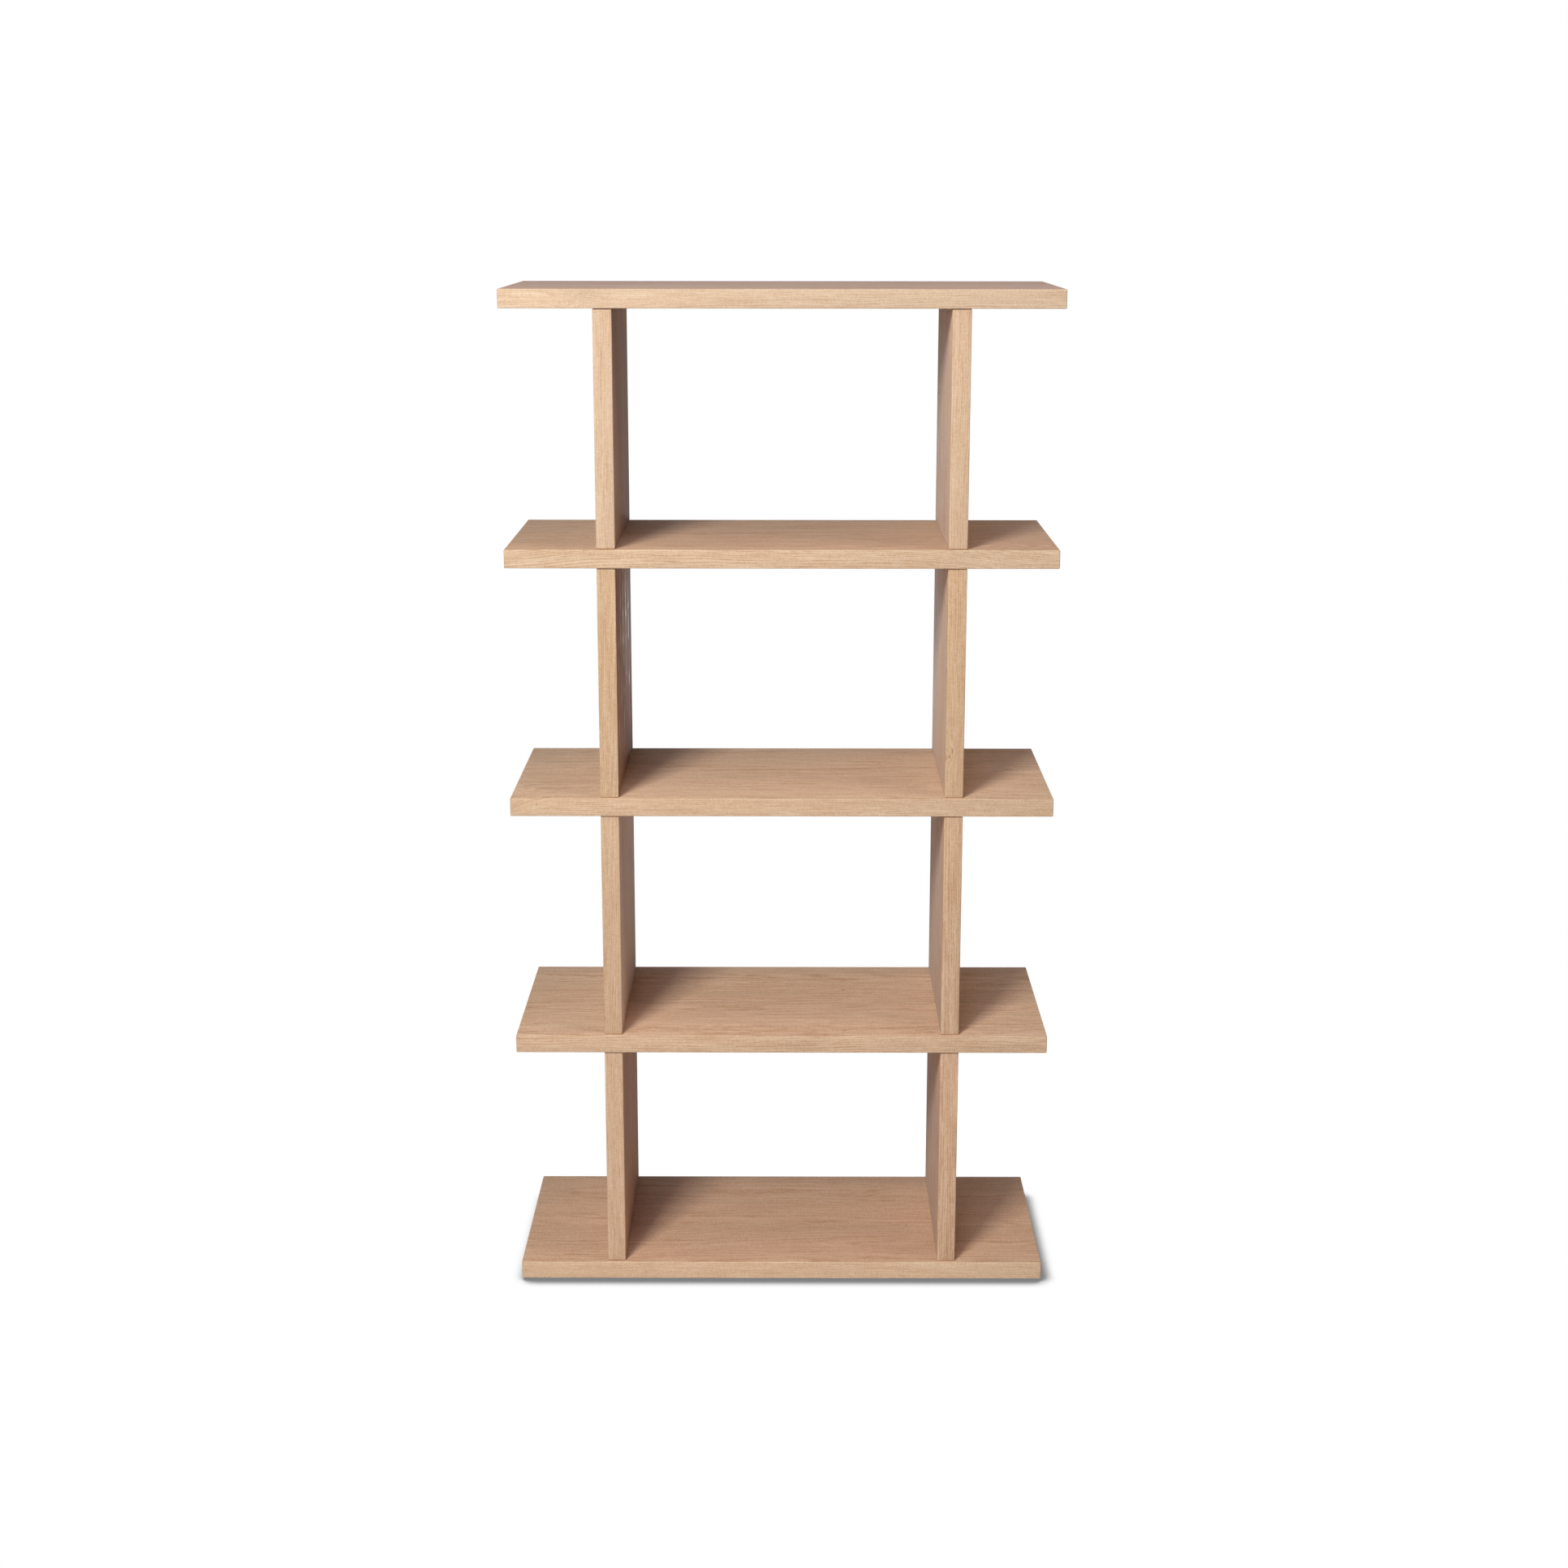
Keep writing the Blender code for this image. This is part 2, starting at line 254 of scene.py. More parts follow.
paint = Finish("white_sweep")
sockets = {"Distance": CONTACT_REACH, "Normal": paint.joined(*CONTACT_LEAN)}
open_sky = paint.node("ShaderNodeAmbientOcclusion", {"samples": 16}, sockets, "AO")
whiteness = paint.rise(open_sky, 0.52, 0.96) * (1 - CONTACT_WHITE) + CONTACT_WHITE
white = paint.node("ShaderNodeEmission", {}, {"Strength": whiteness}, "Emission")
matt = paint.node("ShaderNodeBsdfDiffuse", {}, {"Color": MATT_WHITE}, "BSDF")
shown = paint.node("ShaderNodeMixShader", {}, {0: paint.looked_at(), 1: matt, 2: white})
floor_mesh.materials.append(paint.done(shown))
print("floor of", FLOOR_SIZE, "m")

# %% [markdown]
# Oak grows in rings round a heart. A sawn stave shows those rings as lines along the grain, and a
# board is several staves glued side by side. So the wood is worked out as a solid: the distance
# from a wandering heart line gives the rings, and whatever face cuts them shows the right figure,
# long lines on the faces and arcs on the ends.

# %% Where a point lies in its board
STAVE_WIDTH = 96 * MM
STAVE_SHIFT = 0.37


def board_place(finish, centre, upright):
    """The point being coloured, as along the grain, across the board and through it."""
    seen = finish.node("ShaderNodeTexCoord", {}, {}, "Object")
    turn, shift = Vector((0, 0, 0)), -centre
    if upright:
        turn, shift = Vector((0, math.pi / 2, 0)), Vector((-centre.z, -centre.y, centre.x))
    sockets = {"Vector": seen, "Rotation": turn, "Location": shift}
    return finish.node("ShaderNodeMapping", {"vector_type": "POINT"}, sockets)


def stave_luck(finish, across, seed):
    """Three chance numbers for each stave, and the distance from the stave's middle."""
    lane = across / STAVE_WIDTH + STAVE_SHIFT
    number = finish.maths("FLOOR", lane)
    settings = {"noise_dimensions": "1D"}
    luck = finish.node("ShaderNodeTexWhiteNoise", settings, {"W": number * 1.7 + seed}, "Color")
    from_middle = across - (number + (0.5 - STAVE_SHIFT)) * STAVE_WIDTH
    return luck, from_middle


print("staves", STAVE_WIDTH, "m wide")

# %% [markdown]
# The heart line wanders, and small bumps in it give the wavy, braided lines of the edges. A swirl
# is where the tree grew round a branch: the rings there are pushed aside and run back again.

# %% Growth rings
RING_WIDTH = 3.4 * MM
HEART_SPREAD = 120 * MM
HEART_NEAR = 45 * MM
HEART_RANGE = 90 * MM
DRIFT = 26 * MM
CURL = 2.6 * MM
TAPER = 0.012
HEART_TURN = 90 * MM


def falloff(finish, place, middle, size):
    """1 at the middle of an oval and next to nothing outside it."""
    offset = finish.vector("SUBTRACT", place, middle)
    relative = finish.vector("DIVIDE", offset, size)
    distance = finish.vector("DOT_PRODUCT", relative, relative, output="Value")
    return finish.maths("EXPONENT", distance * -1.0)


def ring_radius(finish, place, luck, from_middle, wood_place, swirls):
    """The distance from the heart line, the way out from it, and how near a swirl is."""
    along, _, through = finish.split(place)
    side_luck, depth_luck, slope_luck = finish.split(luck)
    drift = finish.noise(wood_place, (1.6, 9.0, 9.0), 3.0, "Color")
    drift = finish.vector("MULTIPLY_ADD", drift, (0, DRIFT, DRIFT), (0, -DRIFT / 2, -DRIFT / 2))
    curl = finish.noise(wood_place, (20.0, 110.0, 110.0), 2.0, "Color")
    curl = finish.vector("MULTIPLY_ADD", curl, (0, CURL, CURL), (0, -CURL / 2, -CURL / 2))
    heart_side = (side_luck - 0.5) * HEART_SPREAD
    heart_depth = depth_luck * HEART_RANGE + HEART_NEAR
    section = finish.joined(0.0, from_middle - heart_side, through + heart_depth)
    section = finish.vector("ADD", finish.vector("ADD", section, drift), curl)
    radius = finish.vector("LENGTH", section, output="Value")
    radius = radius + along * ((slope_luck - 0.5) * TAPER * 2)
    swirl = radius * 0.0
    for middle, size, push in swirls:
        near = falloff(finish, place, middle, size)
        radius = radius + near * push
        swirl = near + swirl
    return radius, section, swirl


print("rings", RING_WIDTH, "m wide")

# %% [markdown]
# Oak is pale between the rings. Each ring starts with a band of wide pores, which show as short
# dark dashes, and rays run out from the heart as thin sheets that catch the light. Where a face is
# sawn almost along them they show as wavy flakes, in columns up the board. The colours are those
# of oak under a clear matt oil, with a slow drift between straw and pink.

# %% Oak finish
PALE_OAK = (0.700, 0.521, 0.362, 1.0)
DARK_OAK = (0.500, 0.307, 0.184, 1.0)
PINK_OAK = (1.008, 0.994, 0.985, 1.0)
STRAW_OAK = (0.994, 1.002, 0.992, 1.0)
KNOT_BROWN = linear(122, 84, 58)
END_BROWN = (0.80, 0.74, 0.68, 1.0)
# the pale colour of the ray flakes: partly their own and partly a painted sheen
FLAKE_OAK_AND_SHEEN = linear(232, 212, 192)
EVEN = (1.0, 1.0, 1.0, 1.0)
ARRIS = 2 * MM
STRIP = 3 * MM
SEAM = 0.1 * MM
FLAKE_COLUMN = (1.0, 11 * MM, 3 * MM)
STAVE_APART = (9.0, 7.0, 5.0)
PLAIN_GLOSS = 0.16
PLAIN_BLOOM = 0.08


def second_largest(finish, first, second, third):
    """Above 0 only where two of the three are, which is on the board's edges and corners."""
    either = finish.maths("MAXIMUM", first, second)
    both = finish.maths("MINIMUM", first, second)
    return finish.maths("MAXIMUM", both, finish.maths("MINIMUM", either, third))


def oak(name, centre, half, upright, seed, figure):
    """The oak of one board. Half is half its size along the grain, across it and through it."""
    finish = Finish(name)
    place = board_place(finish, centre, upright)
    along, across, through = finish.split(place)
    luck, from_middle = stave_luck(finish, across, seed)
    wood_place = finish.vector("MULTIPLY_ADD", luck, STAVE_APART, place)
    swirls = figure.get("swirls", ())
    radius, section, swirl = ring_radius(finish, place, luck, from_middle, wood_place, swirls)

    # the grain's own directions: along it, out from the heart and round the heart
    _, side, depth = finish.split(section)
    turn = finish.maths("ARCTAN2", side, depth) * HEART_TURN
    grain = finish.vector("MULTIPLY_ADD", luck, STAVE_APART, finish.joined(along, radius, turn))

    # rings, with the pores at the start of each, and finer lines and specks all over
    slow = finish.noise(finish.joined(radius, seed, 0.0), (60.0, 1.0, 1.0), 2.0)
    within = finish.maths("FRACT", radius / RING_WIDTH + slow * 2.0)
    pore_band = finish.rise(within, 0.0, 0.15) * (1 - finish.rise(within, 0.25, 0.65))
    dashes = finish.noise(grain, (48.0, 300.0, 300.0), 2.0)
    streaks = finish.noise(grain, (11.0, 140.0, 140.0), 3.0)
    pores = finish.noise(grain, (90.0, 1500.0, 1500.0), 1.0)
    pores = finish.rise(pores, 0.55, 0.7) * (pore_band * 0.8 + 0.2)
    broken = finish.rise(dashes, 0.35, 0.62)
    specks = finish.noise(grain, (330.0, 480.0, 480.0), 1.0)
    mottle = finish.noise(grain, (300.0, 110.0, 110.0), 1.0)
    lines = finish.noise(grain, (12.0, 420.0, 420.0), 2.0)
    broad = finish.noise(wood_place, (3.5, 60.0, 60.0), 2.0)
    shade = pore_band * (broken * 0.26 + 0.08) + (broad - 0.5) * 0.35
    shade = shade + (streaks - 0.5) * 0.5 + (lines - 0.5) * 0.85 + (dashes - 0.5) * 0.15
    shade = (shade + pores * 0.25 - 0.11) * figure.get("boldness", 1.0)
    shade = shade + (specks - 0.5) * 0.85 + (mottle - 0.5) * 0.4 + 0.5

    # rays
    rays = finish.noise(finish.joined(along, turn, radius), (30.0, 800.0, 16.0), 1.0)
    rays = finish.rise(rays, 0.60, 0.72)

    # colour
    colour = finish.mixed(shade, PALE_OAK, DARK_OAK)
    slow_tone = finish.noise(wood_place, (1.3, 14.0, 14.0), 2.0)
    hue = finish.mixed(finish.rise(slow_tone, 0.35, 0.65), STRAW_OAK, PINK_OAK)
    colour = finish.mixed(1.0, colour, hue, "MULTIPLY")
    cloud = finish.noise(wood_place, (3.0, 30.0, 30.0), 3.0)
    level = (cloud - 0.5) * 0.16 + (finish.split(luck)[2] - 0.5) * 0.05 + 1.0
    light_rim = finish.rise(within, 0.70, 0.90) * (1 - finish.rise(within, 0.93, 1.0))
    level = level + (light_rim * broken - 0.1) * swirl * 0.12
    for middle, size, change in figure.get("patches", ()):
        level = level + falloff(finish, place, middle, size) * change
    colour = finish.scaled(colour, level)

    # the strip glued along the long edges has its own tone, and so has an upright's inner face;
    # these tones are partly the wood's own and partly painted light and shade
    strip_line = half[1] - STRIP
    on_strip = finish.rise(abs(across), strip_line - SEAM, strip_line + SEAM)
    face_tone_and_light = figure.get("face", EVEN)
    strip_tone_and_light = figure.get("edge", EVEN)
    if upright:
        inwards = finish.rise(through * math.copysign(1.0, centre.x), -1 * MM, 1 * MM)
        face_tone_and_light = finish.mixed(inwards, face_tone_and_light, figure.get("inside_tone_and_light", EVEN))
    colour = finish.mixed(1.0, colour, finish.mixed(on_strip, face_tone_and_light, strip_tone_and_light), "MULTIPLY")

    # ends, edges, knots and ray flakes
    from_end = abs(along) - (half[0] - ARRIS)
    end_mask = finish.rise(from_end, 0.0, ARRIS)
    colour = finish.mixed(end_mask, colour, finish.mixed(1.0, colour, END_BROWN, "MULTIPLY"))
    for middle, size, depth_of_colour in figure.get("knots", ()):
        spot = finish.rise(falloff(finish, place, middle, size), 0.2, 0.8) * depth_of_colour
        colour = finish.mixed(spot, colour, KNOT_BROWN)
    flakes = rays * 0.08
    if "flake_columns" in figure:
        ribbons = finish.rise(finish.noise(place, (28.0, 100.0, 1.0), 2.0), 0.47, 0.58)
        for column in figure["flake_columns"]:
            near = falloff(finish, place, (0, column, -half[2]), FLAKE_COLUMN)
            flakes = flakes + near * ribbons
    # the flakes turn towards a paler oak, partly the rays' own colour and partly a painted sheen
    colour = finish.mixed(flakes * 0.2, colour, FLAKE_OAK_AND_SHEEN)
    edge = second_largest(
        finish,
        from_end,
        abs(across) - (half[1] - ARRIS),
        abs(through) - (half[2] - ARRIS),
    )
    worn = finish.rise(edge, -0.3 * MM, 0.6 * MM)
    colour = finish.scaled(colour, worn * 0.05 + 1.0)

    # surface
    relief = finish.noise(wood_place, (20.0, 500.0, 500.0), 2.0) * 0.35
    relief = relief - pores * 0.7 - pore_band * 0.25
    normal = finish.node(
        "ShaderNodeBump", {}, {"Strength": 0.35, "Distance": 0.25 * MM, "Height": relief}
    )
    roughness = pore_band * 0.08 + dashes * 0.10 - worn * 0.06 - flakes * 0.3 + 0.66
    sockets = {"Base Color": colour, "Roughness": roughness, "Normal": normal}
    sockets["Specular IOR Level"] = figure.get("gloss", PLAIN_GLOSS)
    sockets["Sheen Weight"] = figure.get("bloom", PLAIN_BLOOM)
    sockets["Sheen Roughness"] = 0.4
    return finish.done(finish.node("ShaderNodeBsdfPrincipled", {}, sockets))


print("oak from", PALE_OAK[:3], "to", DARK_OAK[:3])

# %% [markdown]
# What holds the boards together is steel, out of sight. Two long rods stand in each upright and
# screw into flanged nuts let into the shelves. Turned parts like these are a profile spun about an
# axis. A thread is a tooth swept up a helix, which the spin does when each step also climbs.

# %% Turning, threading and cutting
SHARP_ANGLE = math.radians(38)
WELD = 0.002 * MM


def turned(profile, sides, closed=False):
    """A profile of (radius, height) points in mm, spun about Z."""
    bm = bmesh.new()
    points = [bm.verts.new((radius * MM, 0, height * MM)) for radius, height in profile]
    pairs = list(zip(points, points[1:]))
    if closed:
        pairs.append((points[-1], points[0]))
    edges = [bm.edges.new(pair) for pair in pairs]
    bmesh.ops.spin(
        bm,
        geom=points + edges,
        axis=(0, 0, 1),
        cent=(0, 0, 0),
        steps=sides,
        angle=2 * math.pi,
        use_merge=True,
    )
    bmesh.ops.remove_doubles(bm, verts=bm.verts, dist=WELD)
    return bm


def rim_at(bm, height):
    """The open edges at one height, in metres."""
    open_edges = [edge for edge in bm.edges if edge.is_boundary]
    return [e for e in open_edges if all(abs(v.co.z - height) < WELD for v in e.verts)]


def threaded(root, crest, pitch, length, sides):
    """A screw thread, in metres: a tooth swept up a helix, cut square and open at both ends."""
    bm = bmesh.new()
    tooth = [(root, 0), (crest, pitch / 2), (root, pitch)]
    points = [bm.verts.new((radius, 0, height)) for radius, height in tooth]
    edges = [bm.edges.new(pair) for pair in zip(points, points[1:])]
    turns = math.ceil(length / pitch) + 3
    bmesh.ops.spin(
        bm,
        geom=points + edges,
        axis=(0, 0, 1),
        cent=(0, 0, 0),
        dvec=(0, 0, pitch / sides),
        steps=turns * sides,
        angle=2 * math.pi * turns,
    )
    bmesh.ops.remove_doubles(bm, verts=bm.verts, dist=WELD)
    bmesh.ops.translate(bm, vec=(0, 0, -1.6 * pitch), verts=bm.verts)
    for height, outwards in ((0, -1), (length, 1)):
        bmesh.ops.bisect_plane(
            bm,
            geom=bm.verts[:] + bm.edges[:] + bm.faces[:],
            plane_co=(0, 0, height),
            plane_no=(0, 0, outwards),
            clear_outer=True,
        )
    return bm


def finished(bm, name):
    """A bmesh made a mesh, with its faces outwards and its curved faces smooth."""
    bmesh.ops.recalc_face_normals(bm, faces=bm.faces)
    mesh = bpy.data.meshes.new(name)
    bm.to_mesh(mesh)
    bm.free()
    mesh.shade_smooth()
    mesh.set_sharp_from_angle(angle=SHARP_ANGLE)
    return mesh


def cut_by(mesh, tool):
    """What is left of a mesh when the tool is taken away from it."""
    work = bpy.data.objects.new("work", mesh)
    cutter = bpy.data.objects.new("cutter", tool)
    for temporary in (work, cutter):
        bpy.context.scene.collection.objects.link(temporary)
    cut = work.modifiers.new("cut", "BOOLEAN")
    cut.operation = "DIFFERENCE"
    cut.solver = "EXACT"
    cut.object = cutter
    evaluated = work.evaluated_get(bpy.context.evaluated_depsgraph_get())
    result = bpy.data.meshes.new_from_object(evaluated)
    result.set_sharp_from_angle(angle=SHARP_ANGLE)
    for temporary in (work, cutter):
        bpy.data.objects.remove(temporary)
    return result


print("a lathe and a saw")

# %% [markdown]
# A board starts as a box. Its twelve edges are eased to a small round, as a maker does with a
# block and paper, so the edges catch a thin line of light and nothing is knife sharp. The holes
# for the fixings are then bored with turned cutters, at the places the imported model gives.

# %% Board blanks
ARRIS_STEPS = 5
BORE_SIDES = 32


def board_mesh(name, low, high):
    """A box with eased edges. Its six large faces stay flat, the rounds are smooth."""
    bm = bmesh.new()
    bmesh.ops.create_cube(bm, size=1.0)
    bmesh.ops.scale(bm, vec=high - low, verts=bm.verts)
    bmesh.ops.translate(bm, vec=(low + high) / 2, verts=bm.verts)
    bmesh.ops.bevel(
        bm,
        geom=bm.edges[:],
        affect="EDGES",
        offset=ARRIS,
        segments=ARRIS_STEPS,
        profile=0.5,
        material=-1,
    )
    biggest = sorted(bm.faces, key=lambda face: face.calc_area())[-6:]
    for face in bm.faces:
        face.smooth = face not in biggest
    mesh = bpy.data.meshes.new(name)
    bm.to_mesh(mesh)
    bm.free()
    return mesh


def drilled(mesh, profile, places):
    """The mesh with one turned cutter sunk into it at each place."""
    for place in places:
        bm = turned(profile, BORE_SIDES)
        bmesh.ops.translate(bm, vec=place, verts=bm.verts)
        mesh = cut_by(mesh, finished(bm, "cutter"))
    return mesh


print("blanks eased to", ARRIS, "m")

# %% [markdown]
# Each board has its own figure, so that no two are alike: the tree's swirls, a pin knot, a field of
# ray flakes. The long edges carry a thin glued strip whose tone is a little apart from the faces,
# and each upright has another tone on its inner faces than outside. These face, edge and inner
# tones are partly each board's own and partly painted light and shade: they lighten the faces of
# the three lowest shelves, darken most inner faces and paint a cool reflection on some inner faces
# and on the top shelf. Boldness is how strong the grain is, gloss how much a face mirrors at a low
# angle, and bloom the pale veil of dry oil. Places and sizes are in metres from the board's middle,
# as along the grain, across the board and through it.

# %% Each board's own figure
SHELVES = ["base_shelf", "lower_shelf", "middle_shelf", "upper_shelf", "top_shelf"]
SIDES = ["left", "right"]
ENDS = ["front", "back"]
TIERS = [1, 2, 3, 4]


def tone(level, honey=0.0, pink=0.0):
    """A tone over the oak's own colour. Honey takes away blue, and pink takes away green."""
    return (level, level * (1 - 0.5 * honey - pink), level * (1 - honey), 1.0)


# the face, edge and inner tones below carry painted light and shade as well as each board's own tone
FIGURES = {
    "top_shelf": {
        "boldness": 0.95,
        "face": tone(0.942, -0.177, 0.082),
        "edge": tone(0.991, -0.083, -0.024),
        "swirls": [
            ((-0.362, -0.2, 0.002), (0.026, 0.05, 0.03), 10 * MM),
            ((-0.322, -0.2, 0.0), (0.018, 0.05, 0.03), -6 * MM),
        ],
        "patches": [
            ((-0.325, -0.2, 0.008), (0.026, 0.03, 0.016), -0.07),
            ((-0.42, -0.2, 0.0), (0.05, 0.03, 0.03), 0.05),
        ],
    },
    "upper_shelf": {
        "boldness": 1.3,
        "face": tone(1.005, 0.073, 0.007),
        "edge": tone(0.951, -0.017, -0.025),
        "swirls": [
            ((-0.49, -0.2, 0.0), (0.13, 0.2, 0.3), 15 * MM),
            ((0.49, -0.2, 0.0), (0.15, 0.2, 0.3), 17 * MM),
        ],
    },
    "middle_shelf": {
        "boldness": 1.2,
        "face": tone(1.172, -0.002, 0.007),
        "edge": tone(0.972, 0.015, -0.015),
        "swirls": [
            ((-0.485, -0.2, 0.0), (0.042, 0.08, 0.06), 22 * MM),
            ((-0.42, -0.2, 0.008), (0.006, 0.03, 0.006), 3 * MM),
        ],
        "knots": [((-0.424, -0.2, 0.005), (0.0012, 0.02, 0.003), 0.4)],
    },
    "lower_shelf": {
        "boldness": 1.35,
        "face": tone(1.172, 0.003, 0.011),
        "edge": tone(1.006, 0.038, -0.008),
        "patches": [((0.035, -0.2, 0.0), (0.03, 0.03, 0.012), -0.05)],
        "knots": [
            ((0.114, 0.058, 0.016), (0.004, 0.004, 0.01), 0.45),
            ((0.112, -0.171, 0.016), (0.003, 0.002, 0.01), 0.7),
        ],
    },
    "base_shelf": {
        "boldness": 0.95,
        "face": tone(1.103, 0.067, 0.025),
        "edge": tone(1.091, 0.009, -0.009),
        "patches": [
            ((-0.41, 0.044, 0.016), (0.07, 0.0025, 0.01), 0.08),
            ((-0.41, 0.002, 0.016), (0.07, 0.0025, 0.01), 0.07),
            ((-0.37, -0.105, 0.016), (0.03, 0.008, 0.01), -0.06),
        ],
        "knots": [
            ((0.272, 0.162, 0.016), (0.002, 0.004, 0.01), 0.4),
            ((0.234, -0.033, 0.016), (0.002, 0.003, 0.01), 0.4),
        ],
    },
    "left_upright_tier_4": {
        "boldness": 0.95,
        "gloss": 0.12,
        "bloom": 0.02,
        "face": tone(1, 0.02, 0.02),
        "inside_tone_and_light": tone(0.71, -0.14, 0.075),
        "edge": tone(0.948, -0.033, -0.015),
    },
    "left_upright_tier_3": {
        "boldness": 1.15,
        "gloss": 0.05,
        "bloom": 0.0,
        "face": tone(0.96, 0.05, 0.02),
        "inside_tone_and_light": tone(0.59, 0.16, 0.08),
        "edge": tone(0.907, 0.086, -0.026),
        "flake_columns": [-0.145, -0.09, -0.02, 0.05, 0.12],
    },
    "left_upright_tier_2": {
        "boldness": 1.1,
        "bloom": 0.2,
        "face": tone(1.03, 0, 0.015),
        "inside_tone_and_light": tone(1.09, -0.21, 0.06),
        "edge": tone(0.905, 0.086, -0.01),
    },
    "left_upright_tier_1": {
        "boldness": 1.2,
        "gloss": 0.12,
        "bloom": 0.03,
        "face": tone(0.98, 0.04, 0.02),
        "inside_tone_and_light": tone(0.84, 0.11, 0.06),
        "edge": tone(1.025, 0.062, 0.008),
    },
    "right_upright_tier_4": {
        "boldness": 1.0,
        "face": tone(1.02, 0, 0.02),
        "inside_tone_and_light": tone(1.106, -0.113, 0.024),
        "edge": tone(0.953, 0.009, -0.014),
        "knots": [((0.036, 0.188, 0.016), (0.0065, 0.04, 0.005), 0.45)],
    },
    "right_upright_tier_3": {
        "boldness": 1.15,
        "face": tone(0.98, 0.03, 0.015),
        "inside_tone_and_light": tone(1.034, -0.031, 0.019),
        "edge": tone(0.954, 0.118, -0.023),
        "swirls": [((-0.122, -0.195, 0.006), (0.016, 0.03, 0.008), 10 * MM)],
        "patches": [((0.129, -0.09, 0.016), (0.006, 0.08, 0.01), -0.12)],
        "knots": [
            ((-0.127, -0.195, 0.0085), (0.0045, 0.01, 0.0011), 0.75),
            ((-0.117, -0.195, 0.0045), (0.0060, 0.01, 0.0012), 0.55),
        ],
    },
    "right_upright_tier_2": {
        "boldness": 1.5,
        "face": tone(0.96, 0.05, 0.02),
        "inside_tone_and_light": tone(0.905, 0.006, 0.028),
        "edge": tone(0.932, 0.088, -0.002),
    },
    "right_upright_tier_1": {
        "boldness": 1.8,
        "face": tone(1, 0.03, 0.02),
        "inside_tone_and_light": tone(0.885, 0.113, 0.021),
        "edge": tone(0.989, 0.098, 0.011),
    },
}
print("figures for", len(FIGURES), "boards")

# %% [markdown]
# A shelf is bored from below. Where a rod passes there is one hole with a wider seat for the nut's
# flange, and in the top shelf a blind hole for an insert. The base also has four stem holes for its
# feet. An upright has two long holes from end to end, one near the front and one near the back. The
# profiles of the cutters are in mm, as distance from the axis and height over the underside.

# %% Boards
OVERRUN = 5
SHELF_TOP = 32
UPRIGHT_TOP = 400
FLANGE_SEAT = [(0, -OVERRUN), (13.37, -OVERRUN), (13.37, 3.8), (7.37, 3.8)]
SLEEVE_HOLE = FLANGE_SEAT + [(7.37, SHELF_TOP + OVERRUN), (0, SHELF_TOP + OVERRUN)]


def hole(radius, bottom, top):
    """The cutter for a plain hole, in mm."""
    return [(0, bottom), (radius, bottom), (radius, top), (0, top)]


INSERT_HOLE = hole(7.1, -OVERRUN, 18.05)
STEM_HOLE = hole(4.3, -OVERRUN, 20)
ROD_HOLE = hole(5, -OVERRUN, UPRIGHT_TOP + OVERRUN)


def stations(pattern, height, sides=SIDES):
    """The middles of the fixings of one kind in a board, at the height of the board's underside."""
    names = [pattern.format(side=side, end=end) for side in sides for end in ENDS]
    middles = [sum(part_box(name), Vector()) / 2 for name in names]
    return [Vector((middle.x, middle.y, height)) for middle in middles]


def add_piece(node, mesh, material):
    """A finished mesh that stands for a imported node."""
    name = node + "_finished"
    mesh.name = name
    mesh.materials.clear()
    mesh.materials.append(material)
    piece = bpy.data.objects.new(name, mesh)
    bpy.context.scene.collection.objects.link(piece)
    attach(piece, "root")
    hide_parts(node)
    return piece


def add_board(node, upright, bores):
    low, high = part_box(node)
    centre, half = (low + high) / 2, (high - low) / 2
    grain_half = (half.z, half.y, half.x) if upright else tuple(half)
    mesh = board_mesh(node, low, high)
    for profile, pattern, sides in bores:
        mesh = drilled(mesh, profile, stations(pattern, low.z, sides))
    seed = 3.7 * (len(bpy.data.materials) - 1)
    wood = oak(node + "_oak", centre, grain_half, upright, seed, FIGURES[node])
    piece = add_piece(node, mesh, wood)
    print(piece.name, len(mesh.polygons), "faces")


for shelf in SHELVES[:-1]:
    bores = [(SLEEVE_HOLE, shelf + "_nut_{side}_{end}", SIDES)]
    if shelf == "base_shelf":
        bores.append((STEM_HOLE, "glide_{side}_{end}", SIDES))
    add_board(shelf, False, bores)
add_board("top_shelf", False, [(INSERT_HOLE, "top_shelf_insert_{side}_{end}", SIDES)])
for tier in TIERS:
    for side in SIDES:
        rods = "tie_rod_{side}_{end}_tier_" + str(tier)
        add_board(f"{side}_upright_tier_{tier}", True, [(ROD_HOLE, rods, [side])])

# %% [markdown]
# The fixings are seen only when the bookcase is taken apart or looked at from below, but they wear
# real finishes too. Every rod, nut and insert stands 298 mm and 120 mm from the middle planes, so
# one sum, the size of x and y less those distances, gives the place about each one's own axis.

# %% Metal and nylon finishes
ROD_STATION = (298 * MM, 120 * MM, 0)
GLIDE_STATION = (420 * MM, 150 * MM, 0)
ZINC_BLUE = (0.60, 0.64, 0.69, 1.0)
ZINC_STRAW = (0.68, 0.65, 0.56, 1.0)
NICKEL = (0.60, 0.59, 0.57, 1.0)
OILED_STEEL = (0.20, 0.18, 0.16, 1.0)
BRASS = (0.74, 0.55, 0.27, 1.0)
DULL_BRASS = (0.36, 0.25, 0.12, 1.0)
NYLON = (0.055, 0.047, 0.042, 1.0)
SCUFFED_NYLON = (0.17, 0.155, 0.145, 1.0)


def about_axis(finish, station):
    """The point's place, its distance from its own piece's axis and its angle round it."""
    seen = finish.node("ShaderNodeTexCoord", {}, {}, "Object")
    own = finish.vector("SUBTRACT", finish.vector("ABSOLUTE", seen), station)
    x, y, _ = finish.split(own)
    flat = finish.joined(x, y, 0.0)
    return seen, finish.vector("LENGTH", flat, output="Value"), finish.maths("ARCTAN2", y, x)


